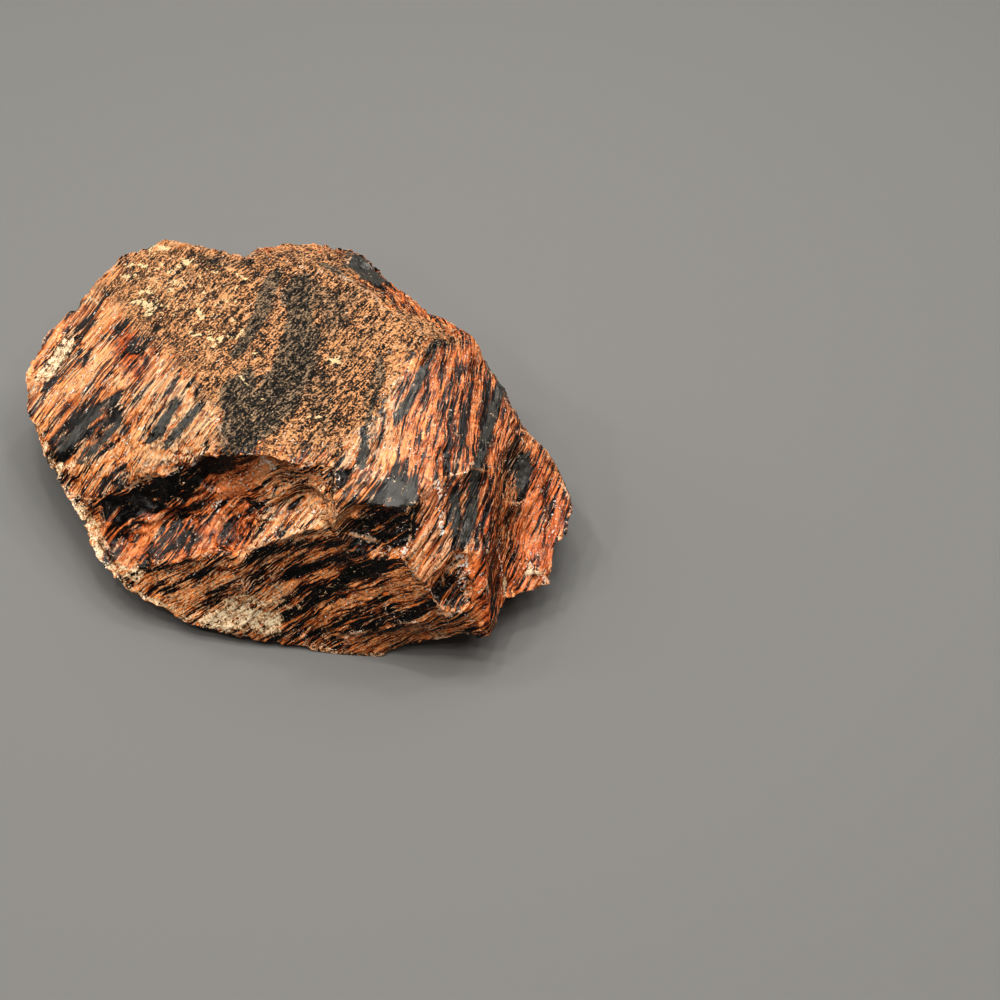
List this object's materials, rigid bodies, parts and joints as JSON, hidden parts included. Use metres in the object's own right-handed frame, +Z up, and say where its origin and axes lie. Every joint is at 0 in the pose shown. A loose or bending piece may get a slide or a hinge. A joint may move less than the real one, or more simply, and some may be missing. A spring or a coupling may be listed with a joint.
{
  "type": "mahogany obsidian",
  "caption": "Rough broken chunk of black volcanic glass banded red-brown, with a weathered top, glassy shell-like fracture faces and a flat facet it rests on.",
  "frame": {"origin": "on the surface that the stone rests on, below the middle of its box", "axes": "+Z up, +X along the stone's long side towards the spur and the east tip, -Y towards the glassy front face"},
  "size_m": [0.21, 0.166, 0.076],
  "materials": {
    "obsidian": "glassy on the fracture faces and matte on the weathered top"
  },
  "bodies": {
    "root": {"obsidian_stone": "obsidian"}
  },
  "joints": []
}
